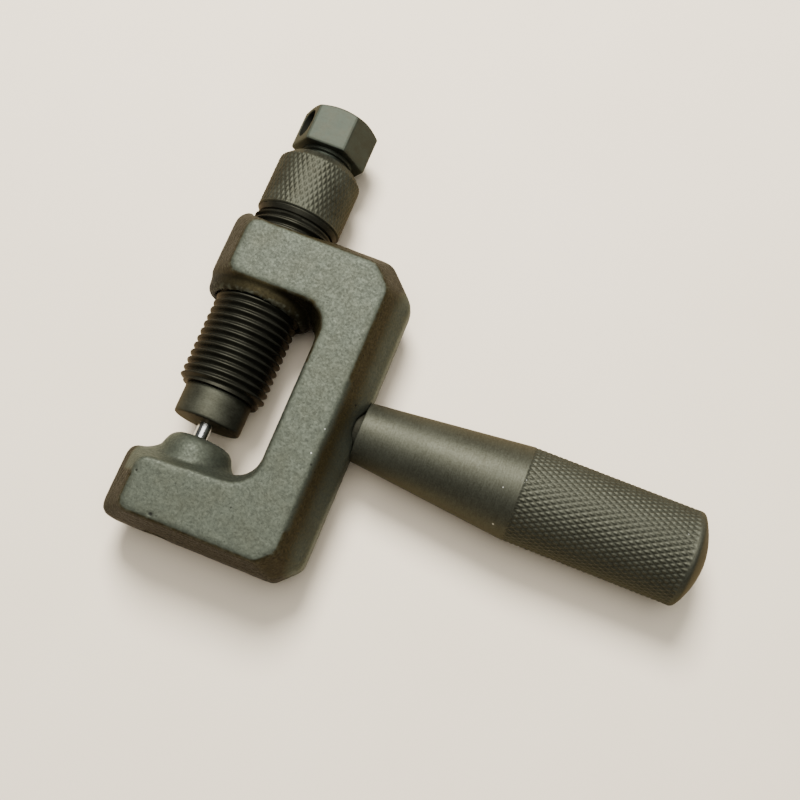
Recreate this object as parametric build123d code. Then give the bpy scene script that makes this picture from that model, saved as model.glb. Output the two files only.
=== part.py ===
from build123d import *
import os
from math import cos, radians, sin, sqrt

# Chain tool: a forged C-frame with a hollow clamp screw, a push bolt that drives a pin, and a knurled handle.
# Millimetres. The screw axis is Y and the anvil face is y = 0; the handle runs along +X; the tool lies flat,
# so the frame's mid-plane is z = 0 and it rests on z = -frame_thickness / 2.

# --- driving dimensions: clamp screw ---
screw_radius = 11.0  # M22 x 2
screw_pitch = 2.0
thread_depth = 0.6  # of the pitch
collar_radius = screw_radius + 0.3
collar_height = 16.8
collar_chamfer = 2.2
neck_height = 1.3
neck_step = 0.6  # how far the neck's lower edge is inside the thread
collar_gap = 1.2  # between the collar's neck and the upper arm
jaw_gap = 4.2  # between the anvil face and the nose
nose_length = 8.0
nose_radius = screw_radius - 2.4
nose_edge = 0.6
nose_floor = 3.0
spigot_radius = nose_radius - 2.6
guide_length = 9.8
ring_wire = 1.0

# --- driving dimensions: frame ---
frame_thickness = 2 * (screw_radius + 2.0)
band_height = 6.6  # upright band round the middle, between the upper and the lower draft
arm_reach = 14.5  # from the screw axis to the ends of the arms
throat_depth = 16.9  # from the screw axis to the spine
spine_width = 19.5
anvil_height = 6.0  # anvil face above the lower arm
lower_arm_height = 19.5
throat_height = 44.7  # between the two arms
upper_arm_height = 20.7
end_draft = 6.1  # how far the flat face is set in at the arm ends and the spine
top_draft = 4.4
bottom_draft = 2.1
throat_draft = 2.0
lower_arm_draft = 3.0
upper_arm_draft = 1.0
arm_slope_in = 1.0  # the lower arm's top stands this much higher at the throat
arm_slope_out = 0.8  # and this much lower at its end
throat_radius = 6.5
corner_radius = 3.0
heel_radius = 1.5
head_radius = 4.0
tip_radius = 2.5
lower_corner_cut = 5.6  # cut corner at the foot of the spine
upper_corner_cut = 8.6  # cut corner at the head of the spine
lower_cut_on_face = 0.7 * lower_corner_cut
upper_cut_on_face = 0.6 * upper_corner_cut
anvil_offset = 1.2  # the forged boss stands this far towards the spine; its bore is on the screw axis
anvil_face_radius = 6.0
anvil_shoulder_radius = 8.2
anvil_waist_radius = 8.9
anvil_foot_radius = 12.4
anvil_foot_flare = 1.2  # the fillet between the foot and the waist
anvil_bore_radius = 3.0
screw_boss_reach = screw_radius + 3.0  # half width of the oval boss along the arm
screw_boss_radius = screw_radius + 1.0  # half height of the oval boss
screw_boss_height = 3.4
screw_boss_bevel = 1.3

# --- driving dimensions: push bolt and pin ---
bolt_radius = 7.0  # M14 x 1.5
bolt_pitch = 1.5
bolt_standoff = 9.5  # from the clamp screw's inner floor to the bolt's tip
bolt_thread_length = 36.0
bolt_neck_height = 4.4
bolt_tip_radius = bolt_radius - 1.0
bolt_edge = 0.5
hex_across_flats = 18.0
hex_height = 11.1
hex_gap = 2.8  # between the head and the collar
hex_face_inset = 0.4  # the round flat on top is this much smaller than the flats
hex_chamfer_slope = 0.55
cross_hole_radius = 3.8
cross_hole_rise = 0.4  # above the middle of the hex
pin_radius = 1.8
pin_edge = 0.2
pin_body_radius = pin_radius + 1.2
pin_shoulder = 1.5  # height of the cone between the slender part and the body
pin_head_radius = bolt_radius - 2.6
pin_head_height = 3.0
pin_step_above_floor = 3.7  # from the clamp screw's inner floor to the pin's cone
pin_setback = 0.3  # the pin's tip stands this far off the anvil face
ball_radius = 3.0
drill_point = 1.5
snap_ring_height = 0.8
snap_ring_depth = 0.7
snap_ring_play = 0.2

# --- driving dimensions: handle ---
handle_height = 16.6  # handle axis above the anvil face
handle_root_radius = 7.7
grip_radius = 12.0
taper_length = 41.0
grip_length = 43.2
dome_height = 3.8
stud_radius = 5.0
stud_in_frame = 12.0
stud_in_handle = 16.0
stud_point = 1.0  # chamfer at both ends of the stud
stud_end_play = 0.2

# --- clearances ---
running = 0.05  # radial, between a thread or a shaft and its hole
guide_running = 0.07  # radial, round the pin
axial = 0.1
overcut = 1.0  # how far a cutting tool runs past the face it leaves

# --- places worked out from the sizes above ---
half_thickness = frame_thickness / 2
arm_y = -anvil_height
bottom_y = arm_y - lower_arm_height
arm_root_y = arm_y - lower_arm_draft
under_y = arm_y + throat_height
top_y = under_y + upper_arm_height
spine_x = throat_depth + spine_width
boss_y = under_y - screw_boss_height
shoulder_y = jaw_gap + nose_length
spigot_y = jaw_gap + nose_floor + axial
bore_floor_y = spigot_y + guide_length
ring_y = (spigot_y + shoulder_y) / 2
neck_y = top_y + collar_gap
collar_y = neck_y + neck_height
screw_top_y = collar_y + collar_height
hex_y = screw_top_y + hex_gap
hex_top_y = hex_y + hex_height
tip_y = bore_floor_y + bolt_standoff
snap_y = tip_y + bolt_edge
head_y = snap_y + snap_ring_height + axial
head_top_y = head_y + pin_head_height
socket_radius = pin_head_radius + guide_running
grip_x = spine_x + taper_length
dome_x = grip_x + grip_length


def turned(points, axis=Axis.Y):
    """A round solid from its half profile, a list of (x, y) points."""
    return revolve(make_face(Polyline(*points, close=True)), axis)


def rod(radius, low, high):
    """A cylinder on the screw axis from y = low to y = high."""
    return turned([(0, low), (radius, low), (radius, high), (0, high)])


def thread_outline(radius, pitch, low, high):
    """Half profile of an outside thread as V rings, from low to high."""
    root = radius - thread_depth * pitch
    half_crest = 0.06 * pitch
    shortest_run = 0.01
    points = [(root, low)]
    for turn in range(int((high - low) / pitch)):
        start = low + turn * pitch
        crest = start + pitch / 2
        points += [(radius, crest - half_crest), (radius, crest + half_crest), (root, start + pitch)]
    if high - points[-1][1] > shortest_run:
        points.append((root, high))
    return points


def outline(points, radii, z):
    """A closed outline with rounded corners, as a face at height z."""
    path = FilletPolyline(*points, radius=radii, close=True)
    return Pos(0, 0, z) * make_face(path)


def band_outline():
    """Corners and corner radii of the C at the middle of the forging."""
    lower = lower_corner_cut
    upper = upper_corner_cut
    points = [
        (-arm_reach, bottom_y),
        (spine_x - lower, bottom_y),
        (spine_x, bottom_y + lower),
        (spine_x, top_y - upper),
        (spine_x - upper, top_y),
        (-arm_reach, top_y),
        (-arm_reach, under_y),
        (throat_depth, under_y),
        (throat_depth, arm_y + arm_slope_in),
        (-arm_reach, arm_y - arm_slope_out),
    ]
    foot = [corner_radius, heel_radius, corner_radius]
    head = [head_radius, head_radius, head_radius, tip_radius]
    radii = foot + head + [throat_radius, throat_radius, corner_radius]
    return points, radii


def face_outline():
    """Corners and corner radii of the flat faces, set in by the draft."""
    left = -arm_reach + end_draft
    right = spine_x - end_draft
    foot = bottom_y + bottom_draft
    head = top_y - top_draft
    inner = throat_depth + throat_draft
    lower = lower_cut_on_face
    upper = upper_cut_on_face
    points = [
        (left, foot),
        (right - lower, foot),
        (right, foot + lower),
        (right, head - upper),
        (right - upper, head),
        (left, head),
        (left, under_y + upper_arm_draft),
        (inner, under_y + upper_arm_draft),
        (inner, arm_root_y + arm_slope_in),
        (left, arm_root_y - arm_slope_out),
    ]
    foot_radii = [corner_radius, heel_radius, corner_radius]
    head_radii = [head_radius, head_radius, corner_radius, corner_radius]
    radii = foot_radii + head_radii + [throat_radius, throat_radius, corner_radius]
    return points, radii


def screw_boss():
    """Oval boss round the screw, under the upper arm, with a bevelled rim."""
    bevel = screw_boss_bevel
    rim = Ellipse(screw_boss_reach, screw_boss_radius)
    face = Ellipse(screw_boss_reach - bevel, screw_boss_radius - bevel)
    root = Plane.XZ.offset(-(boss_y + bevel))
    collar = extrude(root * rim, -(screw_boss_height + overcut))
    taper = loft([root * rim, Plane.XZ.offset(-boss_y) * face], ruled=True)
    return collar + taper


def frame():
    """The forged C-frame with its two bosses, the anvil bore, the screw bore and the handle's hole."""
    band = band_height / 2
    middle = outline(*band_outline(), band)
    flat = outline(*face_outline(), half_thickness)
    upper_draft = loft([middle, flat], ruled=True)
    body = upper_draft + mirror(upper_draft, Plane.XY) + extrude(middle, -band_height)
    # the anvil's flank, with each height as a share of the anvil's own
    anvil = Pos(anvil_offset, 0, 0) * turned(
        [
            (0, 2 * arm_y),
            (anvil_foot_radius, 1.23 * arm_y),
            (anvil_waist_radius + anvil_foot_flare, 0.82 * arm_y),
            (anvil_waist_radius, 0.55 * arm_y),
            (anvil_shoulder_radius, 0.23 * arm_y),
            ((anvil_shoulder_radius + anvil_face_radius) / 2, 0.075 * arm_y),
            (anvil_face_radius, 0),
            (0, 0),
        ]
    )
    body = body + anvil + screw_boss()
    body -= rod(screw_radius + running, boss_y - overcut, top_y + overcut)
    body -= rod(anvil_bore_radius, bottom_y - overcut, overcut)
    body -= stud_hole(spine_x - stud_in_frame, spine_x + overcut)
    return body


def along_handle(points):
    """A round solid on the handle axis from (x, radius) points."""
    return turned(
        [(x, handle_height + r) for x, r in points],
        Axis((0, handle_height, 0), (1, 0, 0)),
    )


def stud_hole(start, end):
    radius = stud_radius + running
    return along_handle([(start, 0), (start, radius), (end, radius), (end, 0)])


def handle():
    """Tapered bar with the grip's cylinder and a slightly domed end."""
    axis_y = handle_height
    sides = Polyline(
        (dome_x + dome_height, axis_y),
        (spine_x, axis_y),
        (spine_x, axis_y + handle_root_radius),
        (grip_x, axis_y + grip_radius),
        (dome_x, axis_y + grip_radius),
    )
    dome_radius = (grip_radius**2 + dome_height**2) / (2 * dome_height)
    half_way = sqrt(dome_radius**2 - (grip_radius / 2) ** 2) - (dome_radius - dome_height)
    dome = ThreePointArc(
        (dome_x, axis_y + grip_radius),
        (dome_x + half_way, axis_y + grip_radius / 2),
        (dome_x + dome_height, axis_y),
    )
    bar = revolve(make_face([*sides.edges(), *dome.edges()]), Axis((0, axis_y, 0), (1, 0, 0)))
    return bar - stud_hole(spine_x - overcut, spine_x + stud_in_handle)


def handle_stud():
    """Threaded stud, half in the spine and half in the handle."""
    low = spine_x - stud_in_frame + stud_end_play
    high = spine_x + stud_in_handle - stud_end_play
    tip = stud_radius - stud_point
    return along_handle(
        [
            (low, 0),
            (low, tip),
            (low + stud_point, stud_radius),
            (high - stud_point, stud_radius),
            (high, tip),
            (high, 0),
        ]
    )


def clamp_screw():
    """Hollow screw with its knurled collar above and the spigot for the nose sleeve below."""
    groove = spigot_radius - ring_wire / 2
    groove_low = ring_y - ring_wire / 2 - axial / 2
    groove_high = ring_y + ring_wire / 2 + axial / 2
    root = screw_radius - thread_depth * screw_pitch
    collar_edge = collar_radius - screw_radius
    body = turned(
        [
            (0, spigot_y),
            (spigot_radius, spigot_y),
            (spigot_radius, groove_low),
            (groove, groove_low),
            (groove, groove_high),
            (spigot_radius, groove_high),
            (spigot_radius, shoulder_y),
        ]
        + thread_outline(screw_radius, screw_pitch, shoulder_y, neck_y - collar_gap / 2)
        + [
            (root, neck_y),
            (screw_radius - neck_step, neck_y),
            (screw_radius, collar_y),
            (collar_radius, collar_y + collar_edge),
            (collar_radius, screw_top_y - collar_chamfer),
            (collar_radius - collar_chamfer, screw_top_y),
            (0, screw_top_y),
        ]
    )
    body -= rod(bolt_radius + running, bore_floor_y, screw_top_y + overcut)
    body -= rod(pin_radius + guide_running, spigot_y - overcut, bore_floor_y + overcut)
    return body


def nose_sleeve():
    """Smooth nose that bears on the link; it turns freely on the screw's spigot."""
    floor_y = jaw_gap + nose_floor
    bore = spigot_radius + running
    groove = spigot_radius + ring_wire / 2 + axial
    hole = pin_radius + guide_running
    low = ring_y - ring_wire / 2 - axial
    high = ring_y + ring_wire / 2 + axial
    return turned(
        [
            (hole, jaw_gap),
            (nose_radius - nose_edge, jaw_gap),
            (nose_radius, jaw_gap + nose_edge),
            (nose_radius, shoulder_y - axial),
            (bore, shoulder_y - axial),
            (bore, high),
            (groove, high),
            (groove, low),
            (bore, low),
            (bore, floor_y),
            (hole, floor_y),
        ]
    )


def nose_ring():
    """Wire ring that keeps the sleeve on the spigot."""
    inner = spigot_radius - ring_wire / 2 + running / 2
    outer = inner + ring_wire
    low = ring_y - ring_wire / 2
    high = ring_y + ring_wire / 2
    return turned([(inner, low), (outer, low), (outer, high), (inner, high)])


def push_bolt():
    """Hex-headed bolt with a cross hole for a tommy bar and a socket in its tip for the pin's head."""
    neck_low = hex_y - bolt_neck_height
    thread_low = neck_low - bolt_thread_length
    shank = turned(
        [
            (0, tip_y),
            (bolt_tip_radius - bolt_edge, tip_y),
            (bolt_tip_radius, tip_y + bolt_edge),
            (bolt_tip_radius, thread_low),
        ]
        + thread_outline(bolt_radius, bolt_pitch, thread_low, neck_low)
        + [(bolt_radius, neck_low + bolt_edge), (bolt_radius, hex_y + overcut), (0, hex_y + overcut)]
    )
    corner = hex_across_flats / sqrt(3)
    face_radius = hex_across_flats / 2 - hex_face_inset
    prism = extrude(Plane.XZ.offset(-hex_y) * RegularPolygon(corner, 6), -hex_height)
    turned_limit = turned(
        [
            (0, hex_y),
            (corner - bolt_edge, hex_y),
            (corner, hex_y + bolt_edge),
            (corner, hex_top_y - hex_chamfer_slope * (corner - face_radius)),
            (face_radius, hex_top_y),
            (0, hex_top_y),
        ]
    )
    body = shank + (prism & turned_limit)
    across = Plane(
        origin=(0, hex_y + hex_height / 2 + cross_hole_rise, 0),
        z_dir=(-cos(radians(30)), 0, sin(radians(30))),
    )
    body -= extrude(across * Circle(cross_hole_radius), hex_across_flats, both=True)
    snap_top = snap_y + snap_ring_height + axial / 2
    groove = socket_radius + snap_ring_depth
    seat_y = head_top_y + running
    seat_top = seat_y + 2 * ball_radius + running
    body -= turned(
        [
            (0, tip_y - overcut),
            (socket_radius, tip_y - overcut),
            (socket_radius, snap_y),
            (groove, snap_y),
            (groove, snap_top),
            (socket_radius, snap_top),
            (socket_radius, seat_y),
            (ball_radius + running, seat_y),
            (ball_radius + running, seat_top),
            (0, seat_top + drill_point),
        ]
    )
    return body


def pin_ring():
    """Snap ring under the pin's head."""
    inner = pin_body_radius + snap_ring_play
    outer = socket_radius + snap_ring_depth - running
    low = snap_y + running / 2
    high = low + snap_ring_height
    return turned([(inner, low), (outer, low), (outer, high), (inner, high)])


def thrust_ball():
    """Hardened ball between the bolt and the pin's head."""
    return Pos(0, head_top_y + running / 2 + ball_radius, 0) * Sphere(ball_radius)


def drive_pin():
    """Slender pin with a stouter body and a flat head."""
    step_y = bore_floor_y + pin_step_above_floor
    return turned(
        [
            (0, pin_setback),
            (pin_radius - pin_edge, pin_setback),
            (pin_radius, pin_setback + pin_edge),
            (pin_radius, step_y),
            (pin_body_radius, step_y + pin_shoulder),
            (pin_body_radius, head_y),
            (pin_head_radius, head_y),
            (pin_head_radius, head_top_y),
            (0, head_top_y),
        ]
    )


pieces = {
    "frame": frame,
    "clamp_screw": clamp_screw,
    "nose_sleeve": nose_sleeve,
    "nose_ring": nose_ring,
    "push_bolt": push_bolt,
    "pin_ring": pin_ring,
    "thrust_ball": thrust_ball,
    "drive_pin": drive_pin,
    "handle": handle,
    "handle_stud": handle_stud,
}

os.makedirs("parts", exist_ok=True)
for name, make in pieces.items():
    solid = make()
    solid.label = name
    export_step(solid, f"parts/{name}.step")
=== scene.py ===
import math

import bmesh
import bpy
import numpy as np
from mathutils import Matrix, Vector


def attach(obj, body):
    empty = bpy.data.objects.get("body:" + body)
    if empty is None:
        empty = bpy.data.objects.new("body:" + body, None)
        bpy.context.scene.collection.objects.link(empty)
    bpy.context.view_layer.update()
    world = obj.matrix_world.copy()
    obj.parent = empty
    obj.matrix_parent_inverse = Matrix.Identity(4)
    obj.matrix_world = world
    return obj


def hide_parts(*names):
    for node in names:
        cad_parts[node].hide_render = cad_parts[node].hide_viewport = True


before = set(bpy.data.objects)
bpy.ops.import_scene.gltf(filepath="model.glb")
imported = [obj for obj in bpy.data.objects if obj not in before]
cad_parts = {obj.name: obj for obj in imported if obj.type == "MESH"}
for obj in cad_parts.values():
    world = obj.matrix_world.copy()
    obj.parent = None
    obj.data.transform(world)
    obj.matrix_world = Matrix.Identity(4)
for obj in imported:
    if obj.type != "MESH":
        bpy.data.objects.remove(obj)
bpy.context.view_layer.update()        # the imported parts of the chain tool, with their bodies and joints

# Lengths are in millimetres until a mesh, a light or the camera takes them.
# The screws lie along y, the handle along x, and the tool rests with its flat face up.
metre = 0.001


def linearColour(hexText):
    # sRGB hex to linear red, green, blue and full alpha
    raw = np.array([int(hexText[i:i + 2], 16) for i in (1, 3, 5)]) / 255
    linear = np.where(raw <= 0.04045, raw / 12.92, ((raw + 0.055) / 1.055) ** 2.4)
    return (*linear.tolist(), 1.0)


def smoothStep(low, high, x):
    # 0 below low, 1 above high, and 3t^2 - 2t^3 between
    t = np.clip((x - low) / (high - low), 0, 1)
    return t * t * (3 - 2 * t)


def soften(corners, closed=False):
    # A profile of (along, radius, cut) corners. Each corner becomes a quadratic curve that leaves the
    # straight runs "cut" away from it, and each run between two curves gets five points of its own.
    table = np.array(corners, float)
    spot, cut = table[:, :2], table[:, 2:]
    before, after = np.roll(spot, 1, axis=0) - spot, np.roll(spot, -1, axis=0) - spot
    if not closed:
        before[0], after[-1] = 0, 0
    start = spot + cut * before / np.maximum(np.linalg.norm(before, axis=1, keepdims=True), 1e-9)
    end = spot + cut * after / np.maximum(np.linalg.norm(after, axis=1, keepdims=True), 1e-9)
    t = np.linspace(0, 1, 5)[None, :, None]
    curve = (1 - t) ** 2 * start[:, None] + 2 * t * (1 - t) * spot[:, None] + t ** 2 * end[:, None]
    share = np.linspace(0, 1, 7)[None, 1:-1, None]
    run = end[:, None] + (np.roll(start, -1, axis=0) - end)[:, None] * share
    path = np.concatenate([curve, run], axis=1).reshape(-1, 2)
    return np.vstack([path, path[:1]]) if closed else path[:-5]


def aroundScrew(along, radius, angle):
    # turned surface on the screw axis: x = radius cos(angle), y = along, z = radius sin(angle)
    return np.stack(np.broadcast_arrays(radius * np.cos(angle), along, radius * np.sin(angle)), axis=-1)


def aroundHandle(along, radius, angle):
    # turned surface on the handle axis: x = along, y = axis height + radius cos(angle), z = radius sin(angle)
    high = handle["axisHeight"] + radius * np.cos(angle)
    return np.stack(np.broadcast_arrays(along, high, radius * np.sin(angle)), axis=-1)


def turned(corners, columns, place=aroundScrew, closed=False):
    # a softened profile carried once round its axis
    profile = soften(corners, closed)
    angle = np.linspace(0, 2 * math.pi, columns + 1)[None, :]
    return place(profile[:, :1], profile[:, 1:], angle)


def threadSheet(low, high, radius, pitch, depth, runOut, columns):
    # Right-hand thread as a profile carried along a helix: row k of turn n stands at
    # low + pitch (n + k) - pitch angle / turn, held between low and high, and its radius is
    # root + depth times the profile's height, which fades to nothing over the run-out.
    share = np.array([0.0, 0.07, 0.22, 0.37, 0.42, 0.47, 0.53, 0.58, 0.63, 0.78, 0.93])
    height = np.array([0.0, 0.02, 0.42, 0.86, 0.97, 1.0, 1.0, 0.97, 0.86, 0.42, 0.02])
    turns = int(math.ceil((high - low) / pitch)) + 2
    phase = (np.arange(turns)[:, None] + share[None, :]).reshape(-1, 1)
    angle = np.linspace(0, 2 * math.pi, columns + 1)[None, :]
    along = np.clip(low - pitch * 0.5 + pitch * phase - pitch * angle / (2 * math.pi), low, high)
    fade = smoothStep(low, low + runOut, along) * smoothStep(high, high - runOut, along)
    rise = np.tile(height, turns).reshape(-1, 1) * fade
    return aroundScrew(along, radius - depth + depth * rise, angle)


def knurlHeight(turn, along, teeth, axialPitch, flat):
    # Diamond knurl: two families of V grooves that lean each way, each falling from 1 at its ridge
    # to 0 at its bottom; the lower of the two is the surface, and the tips are cut off at "flat".
    one = 2 * np.abs((turn * teeth + along / axialPitch) % 1 - 0.5)
    other = 2 * np.abs((turn * teeth - along / axialPitch) % 1 - 0.5)
    return np.minimum(np.minimum(one, other), flat) / flat


def ripple(points, size, seed):
    # smooth unevenness: twelve sine waves of about the given wavelength in seeded directions
    source = np.random.default_rng(seed)
    wave = source.normal(size=(12, 3))
    wave *= (2 * math.pi / size / np.linalg.norm(wave, axis=1) * source.uniform(0.6, 1.4, 12))[:, None]
    return np.sin(points @ wave.T + source.uniform(0, 6.28, 12)).mean(axis=1)


def readPoints(mesh):
    flat = np.empty(len(mesh.vertices) * 3)
    mesh.vertices.foreach_get("co", flat)
    return flat.reshape(-1, 3)


def readNormals(mesh):
    flat = np.empty(len(mesh.vertices) * 3)
    mesh.vertices.foreach_get("normal", flat)
    return flat.reshape(-1, 3)


def readEdges(mesh):
    flat = np.empty(len(mesh.edges) * 2, dtype=np.int64)
    mesh.edges.foreach_get("vertices", flat)
    return flat.reshape(-1, 2)


def neighbourMean(values, edges):
    # mean of each vertex's neighbours along its edges
    total = np.zeros_like(values)
    np.add.at(total, edges[:, 0], values[edges[:, 1]])
    np.add.at(total, edges[:, 1], values[edges[:, 0]])
    count = np.bincount(edges.ravel(), minlength=len(values)).astype(float)
    return total / np.maximum(count, 1).reshape(-1, *[1] * (values.ndim - 1))


def addWearAndShade(mesh, reach):
    # How proud each vertex stands of its neighbours, along its normal: 1 on a sharp ridge, 0.5 on a
    # flat, 0 in a groove. The finishes rub bright where it is high and paint shade where it is low.
    points, edges = readPoints(mesh), readEdges(mesh)
    proud = ((points - neighbourMean(points, edges)) * readNormals(mesh)).sum(axis=1)
    span = np.linalg.norm(points[edges[:, 0]] - points[edges[:, 1]], axis=1)
    spanSum = np.bincount(edges.ravel(), weights=np.repeat(span, 2), minlength=len(points))
    count = np.maximum(np.bincount(edges.ravel(), minlength=len(points)), 1)
    bend = proud / np.maximum(spanSum / count, 1e-9) ** 2 * reach * metre
    for _ in range(2):
        bend = 0.5 * bend + 0.5 * neighbourMean(bend, edges)
    wearAndShade = mesh.attributes.new("wearAndShade", "FLOAT", "POINT")
    wearAndShade.data.foreach_set("value", (0.5 + 0.5 * np.tanh(bend)).astype(np.float32))


def finishPiece(name, mesh, body, nodes, finish, sharp=50, reach=0.5):
    # shades the mesh, gives it its finish and hangs it on its body
    mesh.polygons.foreach_set("use_smooth", np.ones(len(mesh.polygons), dtype=bool))
    mesh.set_sharp_from_angle(angle=math.radians(sharp))
    addWearAndShade(mesh, reach)
    piece = bpy.data.objects.new(name, mesh)
    bpy.context.scene.collection.objects.link(piece)
    mesh.materials.clear()
    mesh.materials.append(finish)
    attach(piece, body)
    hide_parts(*nodes)
    print(name, "made with", len(mesh.polygons), "faces")
    return piece


def meshFromSheets(name, sheets):
    # grids of points (rows by columns) become quads; points that coincide are welded, which closes
    # the seams and poles, and the faces are turned outwards
    index = [np.arange(s.shape[0] * s.shape[1]).reshape(s.shape[:2]) for s in sheets]
    offset = np.cumsum([0] + [i.size for i in index])
    quads = [
        np.stack([i[:-1, :-1], i[:-1, 1:], i[1:, 1:], i[1:, :-1]], axis=-1).reshape(-1, 4) + o
        for i, o in zip(index, offset)
    ]
    points = np.concatenate([s.reshape(-1, 3) for s in sheets]) * metre
    mesh = bpy.data.meshes.new(name)
    mesh.from_pydata(points.tolist(), [], np.concatenate(quads).tolist())
    work = bmesh.new()
    work.from_mesh(mesh)
    bmesh.ops.remove_doubles(work, verts=work.verts, dist=1e-7)
    bmesh.ops.recalc_face_normals(work, faces=work.faces)
    work.to_mesh(mesh)
    work.free()
    return mesh


# Finishes. Every pattern lies on object coordinates, so its scale is 1000 over a size in millimetres.
def addNode(tree, kind, inputs, pick=0, **settings):
    # adds one node: inputs are values or links for its sockets, settings its own properties;
    # what comes back is the output socket named or numbered by pick
    node = tree.nodes.new(kind)
    for key, value in settings.items():
        setattr(node, key, value)
    for key, value in inputs.items():
        if isinstance(value, bpy.types.NodeSocket):
            tree.links.new(value, node.inputs[key])
        else:
            node.inputs[key].default_value = value
    return node.outputs[pick]


def newFinish(name):
    # an empty material with its shader, and the object coordinates that its patterns are laid in
    finish = bpy.data.materials.new(name)
    finish.use_nodes = True
    tree = finish.node_tree
    shader = next(n for n in tree.nodes if n.type == "BSDF_PRINCIPLED")
    return finish, tree, shader, addNode(tree, "ShaderNodeTexCoord", {}, "Object")


def addNicks(tree, spot, nicks):
    # small knocks at stated places (x, y, z, radius in mm): 1 at a knock's middle, 0 outside all
    total = 0.0
    for x, y, z, radius in nicks:
        place = (x * metre, y * metre, z * metre)
        away = addNode(tree, "ShaderNodeVectorMath", {0: spot, 1: place}, "Value", operation="DISTANCE")
        inside = {"Value": away, "From Min": radius * metre, "From Max": radius * metre * 0.4}
        inside = addNode(tree, "ShaderNodeMapRange", inside)
        total = addNode(tree, "ShaderNodeMath", {0: total, 1: inside}, operation="MAXIMUM")
    return total


def forgedGrain(tree, spot, look):
    # the coat's grain: noise, and crystals that each take their own share of light; and slow clouds
    grain = {"Vector": spot, "Scale": 1000 / look["grainMm"], "Detail": 2.0, "Roughness": 0.6}
    grain = addNode(tree, "ShaderNodeTexNoise", grain)
    crystal = {"Vector": spot, "Scale": 1000 / look["crystalMm"]}
    crystal = addNode(tree, "ShaderNodeTexVoronoi", crystal, "Color")
    crystal = addNode(tree, "ShaderNodeSeparateColor", {0: crystal})
    mottle = addNode(tree, "ShaderNodeMapRange", {"Value": grain, "From Min": 0.3, "From Max": 0.7})
    mottle = addNode(tree, "ShaderNodeMix", {0: look["crystalShare"], 2: mottle, 3: crystal})
    cloud = {"Vector": spot, "Scale": 1000 / look["cloudMm"], "Detail": 4.0, "Roughness": 0.6}
    return mottle, addNode(tree, "ShaderNodeTexNoise", cloud)


def paintedFlankShade(tree, look, tone, mottle, cloud):
    # flanks: the outer sides that lean away from the flat faces get painted shade, brown as a painted
    # warm floor reflection, with a border broken by the grain; the screw boss under the upper arm is
    # painted nearly black as shade
    lean = addNode(tree, "ShaderNodeAttribute", {}, "Fac", attribute_name="flankShade")
    # painted shade: where the flank value passes 1, the screw boss under the upper arm goes nearly black
    bossShade = {"Value": lean, "From Min": 1.0, "From Max": 2.0, "To Max": look["bossShadeShare"]}
    bossShade = addNode(tree, "ShaderNodeMapRange", bossShade)
    ragged = addNode(tree, "ShaderNodeMath", {0: cloud, 1: mottle}, operation="ADD")
    ragged = {0: ragged, 1: look["raggedShare"], 2: lean}
    ragged = addNode(tree, "ShaderNodeMath", ragged, operation="MULTIPLY_ADD")
    lean = {"Value": ragged, "From Min": 0.5, "From Max": 1.15, "To Max": look["flankShadeShare"]}
    lean = addNode(tree, "ShaderNodeMapRange", lean)
    flankShade = {0: mottle, 6: linearColour(look["flankShadeDark"]), 7: linearColour(look["flankShadeLight"])}
    flankShade = addNode(tree, "ShaderNodeMix", flankShade, 2, data_type="RGBA")
    tone = addNode(tree, "ShaderNodeMix", {0: lean, 6: tone, 7: flankShade}, 2, data_type="RGBA")
    tone = {0: bossShade, 6: tone, 7: linearColour(look["pitAndShade"])}
    return addNode(tree, "ShaderNodeMix", tone, 2, data_type="RGBA"), lean


def forgedPits(tree, spot, look):
    # pits: rare dark specks in loose groups, and the dents at their stated places
    cell = {"Vector": spot, "Scale": 1000 / look["pitSpacingMm"]}
    cell = addNode(tree, "ShaderNodeTexVoronoi", cell, "Distance")
    speck = addNode(tree, "ShaderNodeMapRange", {"Value": cell, "From Min": 0.17, "From Max": 0.08})
    group = addNode(tree, "ShaderNodeTexNoise", {"Vector": spot, "Scale": 1000 / look["pitGroupMm"]})
    group = addNode(tree, "ShaderNodeMapRange", {"Value": group, "From Min": 0.63, "From Max": 0.67})
    speck = addNode(tree, "ShaderNodeMath", {0: speck, 1: group}, operation="MULTIPLY")
    dent = addNicks(tree, spot, look["dents"])
    return addNode(tree, "ShaderNodeMath", {0: speck, 1: dent}, operation="MAXIMUM")


def wearAndHollowShade(tree, spot, look, tone):
    # edges rubbed light in patches, painted shade in the hollows, and knocks down to the bare metal
    wearAndShade = addNode(tree, "ShaderNodeAttribute", {}, "Fac", attribute_name="wearAndShade")
    patch = {"Vector": spot, "Scale": 1000 / look["patchMm"], "Detail": 3.0}
    patch = addNode(tree, "ShaderNodeTexNoise", patch)
    patch = {"Value": patch, "From Min": 0.42, "From Max": 0.62, "To Max": look["rubShare"]}
    patch = addNode(tree, "ShaderNodeMapRange", patch)
    rubbed = addNode(tree, "ShaderNodeMapRange", {"Value": wearAndShade, "From Min": 0.53, "From Max": 0.62})
    rubbed = addNode(tree, "ShaderNodeMath", {0: rubbed, 1: patch}, operation="MULTIPLY")
    # painted shade: the hollows, where the surface is concave, take the dark pit colour
    hollowShade = {"Value": wearAndShade, "From Min": 0.48, "From Max": 0.38, "To Max": look["hollowShadeShare"]}
    hollowShade = addNode(tree, "ShaderNodeMapRange", hollowShade)
    nick = addNicks(tree, spot, look["nicks"])
    for share, colour in ((rubbed, look["rubbed"]), (hollowShade, look["pitAndShade"]), (nick, look["bare"])):
        tone = {0: share, 6: tone, 7: linearColour(colour)}
        tone = addNode(tree, "ShaderNodeMix", tone, 2, data_type="RGBA")
    return tone


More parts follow.
